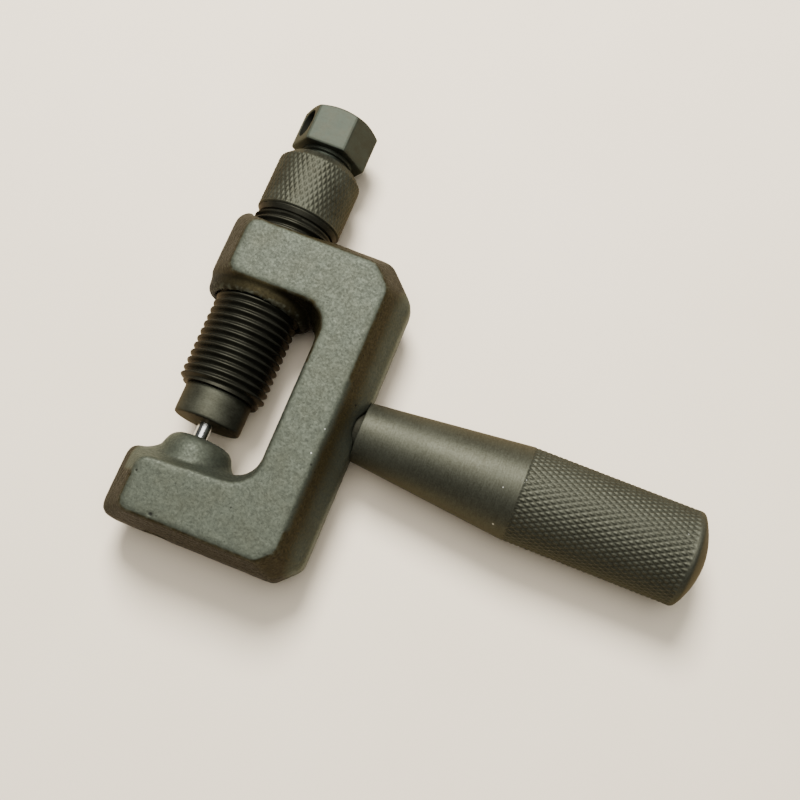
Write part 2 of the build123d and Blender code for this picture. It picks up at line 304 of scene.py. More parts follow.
def forgedSteelFinish(look):
    # Drop-forged steel, shot blasted and manganese phosphated: the eye sees a matt grey-green with a
    # crystalline grain, rubbed lighter edges and dark pits; painted shade goes into the hollows and, brown
    # as a painted warm floor reflection, onto the flanks and the screw boss.
    finish, tree, shader, spot = newFinish("forgedSteelPhosphated")
    mottle, cloud = forgedGrain(tree, spot, look)
    tone = {0: mottle, 6: linearColour(look["dark"]), 7: linearColour(look["light"])}
    tone = addNode(tree, "ShaderNodeMix", tone, 2, data_type="RGBA")
    stain = {"Value": cloud, "From Min": 0.42, "From Max": 0.72, "To Max": look["cloudShare"]}
    stain = addNode(tree, "ShaderNodeMapRange", stain)
    tone = {0: stain, 6: tone, 7: linearColour(look["cloud"])}
    tone = addNode(tree, "ShaderNodeMix", tone, 2, data_type="RGBA")
    tone, lean = paintedFlankShade(tree, look, tone, mottle, cloud)
    speck = forgedPits(tree, spot, look)
    tone = {0: speck, 6: tone, 7: linearColour(look["pitAndShade"])}
    tone = addNode(tree, "ShaderNodeMix", tone, 2, data_type="RGBA")
    tree.links.new(wearAndHollowShade(tree, spot, look, tone), shader.inputs["Base Color"])
    rough = {"Value": mottle, "To Min": look["rough"] + 0.08, "To Max": look["rough"] - 0.08}
    rough = addNode(tree, "ShaderNodeMapRange", rough)
    tree.links.new(rough, shader.inputs["Roughness"])
    shader.inputs["Metallic"].default_value = look["metallic"]
    # the reflection's tint turns brown on the flanks: a painted reflection of a warm floor
    glance = {0: lean, 6: linearColour(look["faceGlance"]), 7: linearColour(look["glance"])}
    glance = addNode(tree, "ShaderNodeMix", glance, 2, data_type="RGBA")
    tree.links.new(glance, shader.inputs["Specular Tint"])
    relief = {0: speck, 1: -look["pitDepth"], 2: mottle}
    relief = addNode(tree, "ShaderNodeMath", relief, operation="MULTIPLY_ADD")
    relief = {"Strength": look["bump"], "Distance": look["bumpMm"] * metre, "Height": relief}
    relief = addNode(tree, "ShaderNodeBump", relief)
    tree.links.new(relief, shader.inputs["Normal"])
    return finish


def turnedGrain(tree, spot, look):
    # fine grain, slow clouds, and rings: noise that is drawn out round the turning axis
    grain = {"Vector": spot, "Scale": 1000 / look["grainMm"], "Detail": 2.0}
    grain = addNode(tree, "ShaderNodeTexNoise", grain)
    cloud = {"Vector": spot, "Scale": 1000 / look["cloudMm"], "Detail": 3.0, "Roughness": 0.6}
    cloud = addNode(tree, "ShaderNodeTexNoise", cloud)
    drawn = addNode(tree, "ShaderNodeMapping", {"Vector": spot, "Scale": look["ringStretch"]})
    rings = {"Vector": drawn, "Scale": 1000 / look["ringMm"], "Detail": 2.0}
    return grain, cloud, addNode(tree, "ShaderNodeTexNoise", rings)


def turnedShade(tree, look, grain, cloud, rings):
    # how light the film is: the clouds' share and the finer share of the grain and the rings
    low, high = 0.5 - look["cloudShare"], 0.5 + look["cloudShare"]
    shade = {"Value": cloud, "From Min": 0.33, "From Max": 0.68, "To Min": low, "To Max": high}
    shade = addNode(tree, "ShaderNodeMapRange", shade)
    fine = addNode(tree, "ShaderNodeMath", {0: grain, 1: rings}, operation="ADD")
    low, high = -look["fineShare"], look["fineShare"]
    fine = {"Value": fine, "From Min": 0.7, "From Max": 1.3, "To Min": low, "To Max": high}
    fine = addNode(tree, "ShaderNodeMapRange", fine)
    return addNode(tree, "ShaderNodeMath", {0: shade, 1: fine}, operation="ADD")


def crestWearAndGrooveShade(tree, spot, look):
    # crests rubbed in patches, and a mask of the grooves, for their painted shade and the matt film's
    # roughness
    wearAndShade = addNode(tree, "ShaderNodeAttribute", {}, "Fac", attribute_name="wearAndShade")
    patch = {"Vector": spot, "Scale": 1000 / look["patchMm"], "Detail": 3.0}
    patch = addNode(tree, "ShaderNodeTexNoise", patch)
    low, high = 0.15 * look["wearShare"], look["wearShare"]
    patch = {"Value": patch, "From Min": 0.35, "From Max": 0.65, "To Min": low, "To Max": high}
    patch = addNode(tree, "ShaderNodeMapRange", patch)
    rubbed = {"Value": wearAndShade, "From Min": look["wearFrom"], "From Max": look["wearTo"]}
    rubbed = addNode(tree, "ShaderNodeMapRange", rubbed)
    rubbed = addNode(tree, "ShaderNodeMath", {0: rubbed, 1: patch}, operation="MULTIPLY")
    groove = {"Value": wearAndShade, "From Min": 0.47, "From Max": 0.3, "To Max": look["grooveShare"]}
    return rubbed, addNode(tree, "ShaderNodeMapRange", groove)


def turnedSteelFinish(name, look):
    # Turned steel under a phosphate or oxide black: the eye sees a dark satin with faint rings left by
    # the tool, bright crests where it rubs, and a matt film in the grooves, which also get painted shade.
    finish, tree, shader, spot = newFinish(name)
    grain, cloud, rings = turnedGrain(tree, spot, look)
    shade = turnedShade(tree, look, grain, cloud, rings)
    tone = {0: shade, 6: linearColour(look["dark"]), 7: linearColour(look["light"])}
    tone = addNode(tree, "ShaderNodeMix", tone, 2, data_type="RGBA")
    rubbed, groove = crestWearAndGrooveShade(tree, spot, look)
    nick = addNicks(tree, spot, look["nicks"])
    # the groove colour is painted shade in the grooves
    for share, colour in ((rubbed, look["rubbed"]), (groove, look["groove"]), (nick, look["bare"])):
        tone = {0: share, 6: tone, 7: linearColour(colour)}
        tone = addNode(tree, "ShaderNodeMix", tone, 2, data_type="RGBA")
    tree.links.new(tone, shader.inputs["Base Color"])
    # clouds vary the roughness a little; the film in the grooves is rougher, the rubbed crests smoother
    low, high = look["rough"] - 0.03, look["rough"] + 0.05
    rough = {"Value": cloud, "From Min": 0.3, "From Max": 0.7, "To Min": low, "To Max": high}
    rough = addNode(tree, "ShaderNodeMapRange", rough)
    rough = addNode(tree, "ShaderNodeMath", {0: groove, 1: 0.25, 2: rough}, operation="MULTIPLY_ADD")
    rough = addNode(tree, "ShaderNodeMath", {0: rubbed, 1: -0.1, 2: rough}, operation="MULTIPLY_ADD")
    tree.links.new(rough, shader.inputs["Roughness"])
    shader.inputs["Metallic"].default_value = look["metallic"]
    shader.inputs["Specular Tint"].default_value = linearColour(look["glance"])
    relief = {0: rings, 1: look["ringShare"], 2: grain}
    relief = addNode(tree, "ShaderNodeMath", relief, operation="MULTIPLY_ADD")
    relief = {0: nick, 1: -look["nickDepth"], 2: relief}
    relief = addNode(tree, "ShaderNodeMath", relief, operation="MULTIPLY_ADD")
    relief = {"Strength": look["bump"], "Distance": look["bumpMm"] * metre, "Height": relief}
    relief = addNode(tree, "ShaderNodeBump", relief)
    tree.links.new(relief, shader.inputs["Normal"])
    return finish


frameLook = {
    "light": "#3f4237", "dark": "#2d2f27", "cloud": "#302f22", "pitAndShade": "#0f0e09", "rubbed": "#5c5f52",
    # the flank colours and the glance tint paint shade and a warm floor reflection onto the flanks; the pit
    # colour also paints shade in the hollows and on the screw boss
    "bare": "#9c9c92", "flankShadeLight": "#38311c", "flankShadeDark": "#221c0f", "glance": "#8f7f50",
    "faceGlance": "#dee6d6", "cloudShare": 0.4, "flankShadeShare": 0.9, "bossShadeShare": 0.6,
    "raggedShare": 0.35, "crystalShare": 0.4, "rubShare": 0.55, "hollowShadeShare": 0.6,
    "grainMm": 0.6,  # the real coat's grain is near 0.2 mm; this coarse it shows
    "crystalMm": 0.5, "cloudMm": 7.0, "pitSpacingMm": 2.4, "pitGroupMm": 9.0, "patchMm": 1.4,
    "pitDepth": 1.5, "rough": 0.58, "metallic": 0.6, "bump": 0.38, "bumpMm": 0.06,
    # knocks and dents: x, y, z and radius of each
    "nicks": [(29.7, 11.5, 13.0, 0.3), (28.9, 5.0, 13.0, 0.25), (29.0, -23.3, 12.6, 0.4)],
    "dents": [(0.05, -22.0, 12.8, 0.55), (-7.35, -13.8, 12.8, 0.4), (-8.45, -15.3, 12.7, 0.4)],
}
# the warm glance tint of these looks makes every reflection browner: a painted reflection of a warm floor
screwLook = {
    "light": "#3f4036", "dark": "#282820", "rubbed": "#66685b", "groove": "#0b0a07",
    "bare": "#9c9c92", "glance": "#c0b294", "cloudShare": 0.3, "fineShare": 0.25,
    "wearShare": 0.35, "wearFrom": 0.6, "wearTo": 0.95, "grooveShare": 0.55, "grainMm": 0.4,
    "cloudMm": 5.0, "ringMm": 0.25, "patchMm": 2.0, "ringStretch": (0.15, 1.0, 0.15),
    "ringShare": 1.5, "nickDepth": 3.0, "rough": 0.56, "metallic": 0.75, "bump": 0.25,
    "bumpMm": 0.03, "nicks": [],
}
threadLook = dict(
    screwLook, light="#2f2f28", dark="#1e1e18", rubbed="#7d7f72", wearFrom=0.68, wearShare=0.8,
    grooveShare=0.9, rough=0.5,
)
boltLook = dict(
    screwLook, light="#3b4038", dark="#33352d", rubbed="#6a6e64", grooveShare=0.8, wearFrom=0.56,
    wearShare=0.8, cloudMm=3.0, cloudShare=0.45, rough=0.6,
)
handleLook = dict(
    screwLook, light="#45463c", dark="#2e2e25", rubbed="#5f6054", cloudMm=14.0, cloudShare=0.12,
    wearShare=0.3, rough=0.55, ringStretch=(1.0, 0.15, 0.15), ringShare=0.6, fineShare=0.32,
    nicks=[(74.35, 6.35, 5.6, 0.35), (88.9, 5.45, 4.4, 0.25), (73.4, 14.35, 11.3, 0.2),
           (77.9, 17.8, 11.9, 0.25), (77.7, 17.1, 12.0, 0.22), (117.0, 19.9, 11.5, 0.3)],
)
pinLook = dict(
    screwLook, light="#c9c9c4", dark="#a3a39d", rubbed="#e0e0dc", groove="#5a5a56",
    glance="#ffffff", rough=0.2, metallic=1.0, bump=0.1,
)
springLook = dict(
    screwLook, light="#8c8c8a", dark="#6e6e6c", glance="#ffffff", rough=0.3, metallic=1.0,
)
ballLook = dict(pinLook, rough=0.1, bump=0.02)

forgedSteel = forgedSteelFinish(frameLook)
screwSteel = turnedSteelFinish("turnedSteelBlackened", screwLook)
threadSteel = turnedSteelFinish("cutThreadOiled", threadLook)  # nearly black flanks, thin bright crests
boltSteel = turnedSteelFinish("boltSteelSatin", boltLook)
handleSteel = turnedSteelFinish("handleSteelPhosphated", handleLook)
pinSteel = turnedSteelFinish("toolSteelGround", pinLook)
springSteel = turnedSteelFinish("springSteelDrawn", springLook)
ballSteel = turnedSteelFinish("bearingSteelPolished", ballLook)
print("finishes made")

# Forged frame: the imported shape, remeshed evenly, with its edges and fillets run soft
forging = {
    "half": 13.0, "bottom": -25.5, "voxel": 0.43, "passes": 20, "unevenness": 0.06,
    "unevenSize": 9.0, "fineSize": 3.0, "peel": 0.022, "screwBore": 11.07, "anvilBore": 3.0,
    # the anvil boss: where the arm's edge runs in front of it, its half width, and its hollow
    "edgeLow": -9.8, "edgeSlope": 0.066, "edgeStart": 8.4, "edgeFall": 2.4, "waist": 8.6,
    "waistTaper": 0.12, "bossPlace": 1.2, "bossReach": 13.0, "bossHigh": -2.6,
    "webHeight": -7.0, "webReach": 1.6, "webWide": 10.0, "webPasses": 16,
    # the throat's sides and the screw boss, for the flanks' painted shade
    "outer": -13.0, "spine": 30.0, "armLow": -13.0, "armHigh": 24.0, "screwBossHigh": 40.6,
    "screwBossReach": 15.0, "spineOuter": 31.0, "spineOuterShadeCut": 0.75,
    # pits in the upper face: x, y, width, depth
    "pits": [(0.05, -22.0, 0.5, 0.3), (-7.35, -13.8, 0.35, 0.15), (-8.45, -15.3, 0.35, 0.15),
             (-9.2, -17.9, 0.3, 0.1)],
}


def evenForging(look):
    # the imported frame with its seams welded, in even quads of one voxel's size
    work = bmesh.new()
    work.from_mesh(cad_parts["frame"].data)
    bmesh.ops.remove_doubles(work, verts=work.verts, dist=1e-7)
    rough = bpy.data.meshes.new("forgingRough")
    work.to_mesh(rough)
    work.free()
    holder = bpy.data.objects.new("forgingRough", rough)
    bpy.context.scene.collection.objects.link(holder)
    remesh = holder.modifiers.new("even", "REMESH")
    remesh.mode, remesh.voxel_size = "VOXEL", look["voxel"] * metre
    evaluated = holder.evaluated_get(bpy.context.evaluated_depsgraph_get())
    mesh = bpy.data.meshes.new_from_object(evaluated)
    bpy.data.objects.remove(holder)
    return mesh


def standBossBehind(points, look):
    # the anvil boss stands behind the arm's upper edge: above that edge, which climbs along x, the half
    # thickness falls with height until it meets the boss's own round side
    x, y, z = (points / metre).T
    rise = y - look["edgeLow"] - look["edgeSlope"] * (x + look["edgeStart"])
    waist = look["waist"] - look["waistTaper"] * y
    side = np.sqrt(np.clip(waist ** 2 - (x - look["bossPlace"]) ** 2, 0, None))
    limit = np.maximum(look["half"] - look["edgeFall"] * rise, side)
    beside = (rise > 0) & (y < look["bossHigh"])
    beside &= np.abs(x - look["bossPlace"]) < look["bossReach"]
    points[:, 2] = np.where(beside, np.clip(z, -limit, limit), z) * metre
    return points


def drawSoft(points, edges, look):
    # each pass draws a vertex half way to its neighbours; the hollow between the anvil boss and the
    # arm is drawn softer still, by a share that falls off as a bell round it
    for _ in range(look["passes"]):
        points = 0.5 * points + 0.5 * neighbourMean(points, edges)
    web = 0.5 * np.exp(-(((points[:, 1] / metre - look["webHeight"]) / look["webReach"]) ** 2))
    web *= smoothStep(look["webWide"] + 3, look["webWide"], np.abs(points[:, 0] / metre))
    for _ in range(look["webPasses"]):
        points = points + web[:, None] * (neighbourMean(points, edges) - points)
    return points


def forgedSkin(place, normal, edges, look):
    # slow and quick unevenness, the orange peel left by shot blasting, and the pits, all along the normal
    depth = look["unevenness"] * ripple(place, look["unevenSize"], 3)
    depth += 0.4 * look["unevenness"] * ripple(place, look["fineSize"], 8) - look["unevenness"]
    peel = np.random.default_rng(5).normal(size=len(place))
    depth += look["peel"] * (0.5 * peel + 0.5 * neighbourMean(peel, edges))
    for x, y, width, deep in look["pits"]:
        away = ((place[:, 0] - x) ** 2 + (place[:, 1] - y) ** 2) / width ** 2
        depth -= deep * np.exp(-away) * (normal[:, 2] > 0.5)
    place = place + normal * depth[:, None]
    # the two bores keep their true radius, and the whole its packed thickness and lower end
    out = np.hypot(place[:, 0], place[:, 2])
    bore = np.where(place[:, 1] > 20, look["screwBore"], look["anvilBore"])
    grow = np.where(out < bore, bore / np.maximum(out, 1e-6), 1.0)
    place[:, 0] *= grow
    place[:, 2] *= grow
    place[:, 1] = np.maximum(place[:, 1], look["bottom"])
    place[:, 2] = np.clip(place[:, 2], -look["half"], look["half"])
    return place


def flankShadeShare(place, normal, look):
    # how far the surface leans from the flat faces, which sets the flanks' painted shade; left out in the
    # throat and on the anvil boss
    lean = smoothStep(0.97, 0.75, np.abs(normal[:, 2]))
    throat = smoothStep(look["outer"], look["outer"] + 2, place[:, 0])
    throat *= smoothStep(look["spine"] + 2, look["spine"], place[:, 0])
    throat *= smoothStep(look["armLow"] - 2, look["armLow"], place[:, 1])
    throat *= smoothStep(look["armHigh"] + 2, look["armHigh"], place[:, 1])
    # the spine's outer side keeps less of this painted shade; the screw boss under the upper arm keeps
    # all of it and is painted nearly black as shade besides, which is told by a value of 2
    spineOuter = smoothStep(look["spineOuter"], look["spineOuter"] + 4, place[:, 0])
    lean *= (1 - throat) * (1 - look["spineOuterShadeCut"] * spineOuter)
    reach = look["screwBossReach"]
    boss = smoothStep(look["screwBossHigh"], look["screwBossHigh"] - 1.5, place[:, 1])
    boss *= smoothStep(reach + 1, reach - 1, np.abs(place[:, 0]))
    boss *= smoothStep(look["armHigh"] - 4, look["armHigh"], place[:, 1])
    return np.maximum(lean, 2 * boss)


def softForging(look):
    mesh = evenForging(look)
    edges = readEdges(mesh)
    points = drawSoft(standBossBehind(readPoints(mesh), look), edges, look)
    mesh.vertices.foreach_set("co", points.ravel())
    mesh.update()
    normal = readNormals(mesh)
    place = forgedSkin(points / metre, normal, edges, look)
    mesh.vertices.foreach_set("co", (place * metre).ravel())
    mesh.update()
    # the flanks' painted shade, with 2 on the screw boss for its nearly black painted shade
    flankShade = mesh.attributes.new("flankShade", "FLOAT", "POINT")
    flankShade.data.foreach_set("value", flankShadeShare(place, normal, look).astype(np.float32))
    return mesh


finishPiece("forgedFrame", softForging(forging), "body", ["frame"], forgedSteel, 80, 1.0)

# Clamp screw: right-hand thread, then the knurled collar on its smooth neck
clamp = {
    "radius": 11.0, "pitch": 2.0, "threadDepth": 1.2, "threadLow": 12.4, "threadHigh": 60.4, "runOut": 1.2,
    "columns": 160, "spigotLow": 7.3, "spigotRadius": 6.0, "ringGroove": (9.15, 10.35, 5.45),
    "pinHole": 1.87, "boreFloor": 17.1, "bore": 7.05, "neckHigh": 62.0,
    "collarRadius": 11.3, "collarLow": 61.9, "collarTop": 78.7, "chamfer": 2.2, "mouth": 8.0,
    "teeth": 51, "axialPitch": 2.69, "knurlDepth": 0.19, "tipFlat": 0.84, "samplesPerTooth": 9,
}


def clampThread(look):
    root = look["radius"] - look["threadDepth"]
    low, high, deep = look["ringGroove"]
    thread = threadSheet(look["threadLow"], look["threadHigh"], look["radius"], look["pitch"],
                         look["threadDepth"], look["runOut"], look["columns"])
    # the rest of the tube's section, from the thread's top end round through the bore to its low end
    rest = turned(
        [
            (look["threadHigh"], root, 0), (look["threadHigh"] + 0.15, root + 0.5, 0.1),
            (look["collarLow"] - 0.15, look["radius"] - 0.1, 0.1),
            (look["neckHigh"], look["radius"] - 0.2, 0.05), (look["neckHigh"], look["bore"] + 0.01, 0.05),
            (look["boreFloor"], look["bore"], 0.1),
            (look["boreFloor"], look["pinHole"], 0.1), (look["spigotLow"], look["pinHole"], 0.1),
            (look["spigotLow"], look["spigotRadius"], 0.2), (low, look["spigotRadius"], 0.05),
            (low, deep, 0.05), (high, deep, 0.05), (high, look["spigotRadius"], 0.05),
            (look["threadLow"] - 0.2, look["spigotRadius"], 0.05), (look["threadLow"] - 0.2, root, 0.05),
            (look["threadLow"], root, 0),
        ],
        look["columns"],
    )
    return meshFromSheets("clampThread", [thread, rest])


def clampCollar(look):
    # knurled band: radius = collar radius - depth (1 - knurl height), faded out at both ends,
    # and the knurl runs on over the chamfer at the top
    columns = look["teeth"] * look["samplesPerTooth"]
    step = look["axialPitch"] / look["samplesPerTooth"]
    low, top = look["collarLow"] + 0.35, look["collarTop"]
    along = np.arange(low, top, step)[:, None]
    turn = np.linspace(0, 1, columns + 1)[None, :]
    body = look["collarRadius"] - np.clip(along - (top - look["chamfer"]), 0, None) * 0.95
    fade = smoothStep(low, low + 0.4, along) * smoothStep(top, top - 0.5, along)
    height = knurlHeight(turn, along, look["teeth"], look["axialPitch"], look["tipFlat"])
    radius = body - look["knurlDepth"] * (1 - height) * fade
    band = aroundScrew(along + 0 * turn, radius, 2 * math.pi * turn)
    first, last = float(along[0, 0]), float(along[-1, 0])
    lastRadius = float(body[-1, 0])
    foot, outer, inner = look["collarLow"], look["collarRadius"], look["bore"]
    under = turned([(foot, inner + 0.5, 0), (foot, outer - 0.35, 0.1), (first, outer, 0)], columns)
    over = turned([(last, lastRadius, 0), (top, lastRadius - 0.25, 0.1), (top, look["mouth"], 0.12),
                   (top - 0.9, inner + 0.02, 0.1), (top - 1.6, inner + 0.01, 0.1),
                   (foot + 0.3, inner + 0.01, 0.1), (foot, inner + 0.5, 0)], columns)
    return meshFromSheets("clampCollar", [under, band, over])


finishPiece("clampThread", clampThread(clamp), "screw", ["clamp_screw"], threadSteel, 60, 0.35)
finishPiece("clampCollar", clampCollar(clamp), "screw", ["clamp_screw"], screwSteel, 60, 0.3)

# Nose sleeve: the smooth end that bears on the link
nose = {
    "low": 4.2, "high": 12.1, "radius": 8.6, "hole": 1.87, "bore": 6.05, "floor": 7.2,
    "ringGroove": (9.15, 10.45, 6.6), "columns": 128,
}


def noseSleeve(look):
    low, high, deep = look["ringGroove"]
    profile = [
        (look["low"], look["hole"], 0.15), (look["low"], look["radius"], 0.7),
        (look["high"], look["radius"], 0.3), (look["high"], look["bore"], 0.1),
        (high, look["bore"], 0.05), (high, deep, 0.05), (low, deep, 0.05), (low, look["bore"], 0.05),
        (look["floor"], look["bore"], 0.1), (look["floor"], look["hole"], 0.1),
    ]
    return meshFromSheets("noseSleeve", [turned(profile, look["columns"], closed=True)])


finishPiece("noseSleeve", noseSleeve(nose), "nose", ["nose_sleeve"], screwSteel, 50, 0.4)

# Push bolt: hex head with a cross hole, smooth neck, fine thread and plain tip
bolt = {
    "radius": 7.0, "pitch": 1.5, "threadDepth": 0.9, "threadLow": 41.1, "threadHigh": 80.3, "runOut": 0.9,
    "columns": 144, "tip": 26.6, "tipRadius": 6.0, "socket": 4.47, "socketTop": 31.05, "seat": 3.05,
    "seatTop": 37.1, "drill": 38.6, "snapGroove": (27.1, 27.95, 5.17), "headLow": 81.5, "headTop": 92.6,
    "acrossFlats": 18.0, "cornerRound": 0.5, "cornerCut": 0.14, "cornerReach": 0.28, "faceRadius": 8.6,
    "chamferSlope": 0.55, "lowerEdge": 0.45,
    "crossHole": 3.8, "crossHeight": 87.45, "crossTurn": 150.0,
}


def boltShank(look):
    root = look["radius"] - look["threadDepth"]
    low, high, deep = look["snapGroove"]
    thread = threadSheet(look["threadLow"], look["threadHigh"], look["radius"], look["pitch"],
                         look["threadDepth"], look["runOut"], look["columns"])
    top, under = look["threadHigh"], look["headLow"] + 0.4
    neck = turned([(top, root, 0), (top + 0.35, root + 0.05, 0.1), (top + 0.5, look["radius"] - 0.05, 0.12),
                   (under, look["radius"], 0.1), (under, 0, 0)], look["columns"])
    end = turned(
        [
            (look["threadLow"], root, 0), (look["threadLow"] - 0.1, look["tipRadius"], 0.05),
            (look["tip"], look["tipRadius"], 0.5), (look["tip"], look["socket"], 0.1),
            (low, look["socket"], 0.03), (low, deep, 0.03), (high, deep, 0.03), (high, look["socket"], 0.03),
            (look["socketTop"], look["socket"], 0.1), (look["socketTop"], look["seat"], 0.05),
            (look["seatTop"], look["seat"], 0.05), (look["drill"], 0, 0),
        ],
        look["columns"],
    )
    return meshFromSheets("boltShank", [end, thread, neck])


def hexBlank(look):
    # The section is a hexagon with rounded corners: at each angle the radius is the flat's distance over
    # the cosine of the angle from the flat's middle, less a bell that takes the sharp corner off. Going
    # up, the outline leaves the lower face, climbs the side, and turns over the chamfer's cone to the top.
    flat = look["acrossFlats"] / 2
    share = np.linspace(-1, 1, 41)
    bend = np.sign(share) * (1 - (1 - np.abs(share)) ** 1.6) * math.pi / 6  # closer near the corners
    angle = (np.arange(6)[:, None] * math.pi / 3 + math.pi / 2 + bend[None, :-1]).reshape(-1)
    local = np.tile(bend[:-1], 6)
    angle, local = np.append(angle, angle[0] + 2 * math.pi), np.append(local, local[0])
    cornerRadius = flat / math.cos(math.pi / 6) - look["cornerRound"] * (2 / math.sqrt(3) - 1)
    fromCorner = (math.pi / 6 - np.abs(local)) * cornerRadius
    bell = np.exp(-((fromCorner / look["cornerReach"]) ** 2))
    radius = flat / np.cos(local) - look["cornerCut"] * bell
    reach, slope = radius - look["faceRadius"], look["chamferSlope"]
    low, top, edge = look["headLow"], look["headTop"], look["lowerEdge"]
    shoulder = top - slope * reach
    side = low + edge + 0.25  # where the straight side begins
    rows = [
        (0 * radius, low), (radius * 0.6, low), (radius - edge - 0.3, low), (radius - edge, low + 0.03),
        (radius - edge * 0.4, low + edge * 0.4), (radius - 0.04, low + edge), (radius, side),
    ]
    rows += [(radius, side + (shoulder - 0.3 - side) * climb) for climb in np.linspace(0, 1, 9)[1:-1]]
    rows += [
        (radius, shoulder - 0.3), (radius - 0.03, shoulder - 0.1), (radius - 0.12, shoulder + 0.03),
        (radius - 0.35 * reach, shoulder + 0.35 * slope * reach),
        (radius - 0.8 * reach, shoulder + 0.8 * slope * reach),
        (look["faceRadius"] + 0 * radius - 0.1, top - 0.02), (look["faceRadius"] + 0 * radius - 0.5, top),
        (look["faceRadius"] * 0.5 + 0 * radius, top), (0 * radius, top),
    ]
    return meshFromSheets("boltHead", [np.stack([aroundScrew(high, out, angle) for out, high in rows])])


def crossDrill(look):
    # the drill that leaves the cross hole, with a small flare at both mouths
    flat = look["acrossFlats"] / 2
    ends, wide, flare = flat + 2.0, look["crossHole"], look["crossHole"] + 2.2
    profile = [(-ends, 0, 0), (-ends, flare, 0), (-flat + 0.2, wide, 0.2), (flat - 0.2, wide, 0.2),
               (ends, flare, 0), (ends, 0, 0)]
    lean = math.radians(look["crossTurn"])

    def acrossHead(along, radius, turn):
        # turned surface on the hole's axis, which leans across the head in the plane of x and z
        side, up = radius * np.cos(turn), radius * np.sin(turn)
        x = along * math.cos(lean) - side * math.sin(lean)
        z = along * math.sin(lean) + side * math.cos(lean)
        return np.stack(np.broadcast_arrays(x, look["crossHeight"] + up, z), axis=-1)

    return meshFromSheets("crossDrill", [turned(profile, 64, acrossHead)])


def boltHead(look):
    # the hexagon less the drill
    head = bpy.data.objects.new("boltHeadBlank", hexBlank(look))
    drill = bpy.data.objects.new("crossDrill", crossDrill(look))
    for thing in (head, drill):
        bpy.context.scene.collection.objects.link(thing)
    cut = head.modifiers.new("cut", "BOOLEAN")
    cut.operation, cut.solver, cut.object = "DIFFERENCE", "EXACT", drill
    mesh = bpy.data.meshes.new_from_object(head.evaluated_get(bpy.context.evaluated_depsgraph_get()))
    for thing in (head, drill):
        bpy.data.objects.remove(thing)
    return mesh


def paintHoleShade(mesh, look):
    # the cross hole's inside gets painted shade: vertices within its radius of the hole's axis get a low
    # wear-and-shade value, which the finish paints nearly black
    x, y, z = (readPoints(mesh) / metre).T
    lean = math.radians(look["crossTurn"])
    away = np.hypot(y - look["crossHeight"], x * math.sin(lean) - z * math.cos(lean))
    wearAndShade = np.empty(len(mesh.vertices), dtype=np.float32)
    mesh.attributes["wearAndShade"].data.foreach_get("value", wearAndShade)
    wearAndShade[away < look["crossHole"] + 0.05] = 0.2
    mesh.attributes["wearAndShade"].data.foreach_set("value", wearAndShade)


finishPiece("boltShank", boltShank(bolt), "bolt", ["push_bolt"], boltSteel, 60, 0.3)
headPiece = finishPiece("boltHead", boltHead(bolt), "bolt", ["push_bolt"], boltSteel, 32, 0.4)
# the cross hole's inside is painted dark as shade
paintHoleShade(headPiece.data, bolt)

# Drive pin: slender ground part, cone, body and head
pin = {
    "low": 0.3, "radius": 1.8, "step": 20.8, "cone": 1.5, "body": 3.0, "head": 4.4, "headLow": 28.0,
    "headTop": 31.0,
}


def drivePin(look):
    profile = [
        (look["low"], 0, 0), (look["low"], look["radius"], 0.25), (look["step"], look["radius"], 0.3),
        (look["step"] + look["cone"], look["body"], 0.3), (look["headLow"], look["body"], 0.2),
        (look["headLow"], look["head"], 0.2), (look["headTop"], look["head"], 0.3), (look["headTop"], 0, 0),
    ]
    return meshFromSheets("drivePin", [turned(profile, 64)])


finishPiece("drivePin", drivePin(pin), "pin", ["drive_pin"], pinSteel, 50, 0.3)

# Handle: turned taper, coarse diamond knurl and a low domed end
handle = {
    "axisHeight": 16.6, "root": 36.4, "rootRadius": 7.7, "middleRadius": 9.85, "gripStart": 77.4,
    "gripEnd": 120.6, "radius": 12.0, "dome": 124.4, "rim": 0.9, "studHole": 5.05, "studDepth": 52.4,
    "teeth": 52, "axialPitch": 2.67, "samplesPerTooth": 8, "knurlDepth": 0.3, "tipFlat": 0.84,
}


def turnedHandle(look):
    # grip: radius = handle radius - depth (1 - knurl height), faded over the first and last half millimetre
    columns = look["teeth"] * look["samplesPerTooth"]
    step = look["axialPitch"] / look["samplesPerTooth"]
    along = np.arange(look["gripStart"], look["gripEnd"] - look["rim"], step)[:, None]
    last = float(along[-1, 0])
    turn = np.linspace(0, 1, columns + 1)[None, :]
    fade = smoothStep(look["gripStart"], look["gripStart"] + 0.5, along) * smoothStep(last, last - 0.5, along)
    height = knurlHeight(turn, along, look["teeth"], look["axialPitch"], look["tipFlat"])
    radius = look["radius"] - look["knurlDepth"] * (1 - height) * fade
    grip = aroundHandle(along + 0 * turn, radius, 2 * math.pi * turn)
    taper = turned(
        [
            (look["studDepth"], 0, 0), (look["studDepth"], look["studHole"], 0.1),
            (look["root"], look["studHole"], 0.1), (look["root"], look["rootRadius"], 0.35),
            (0.5 * (look["root"] + look["gripStart"]), look["middleRadius"], 1.0),
            (look["gripStart"] - 0.35, look["radius"] - 0.035, 0), (look["gripStart"], look["radius"], 0),
        ],
        columns, aroundHandle,
    )
    # dome: a circle's arc that falls from the tip to the rim
    out = np.linspace(look["radius"] - look["rim"], 0, 14)[:, None]
    fall = (look["dome"] - look["gripEnd"]) * (out / look["radius"]) ** 2
    dome = aroundHandle(look["dome"] - fall, out, 2 * math.pi * turn)
    rimPath = soften([(last, look["radius"], 0), (look["gripEnd"] - 0.1, look["radius"], 0.7),
                      (float(look["dome"] - fall[0, 0]), look["radius"] - look["rim"], 0)])
    rim = aroundHandle(rimPath[:, :1], rimPath[:, 1:], 2 * math.pi * turn)
    return meshFromSheets("turnedHandle", [taper, grip, rim, dome])


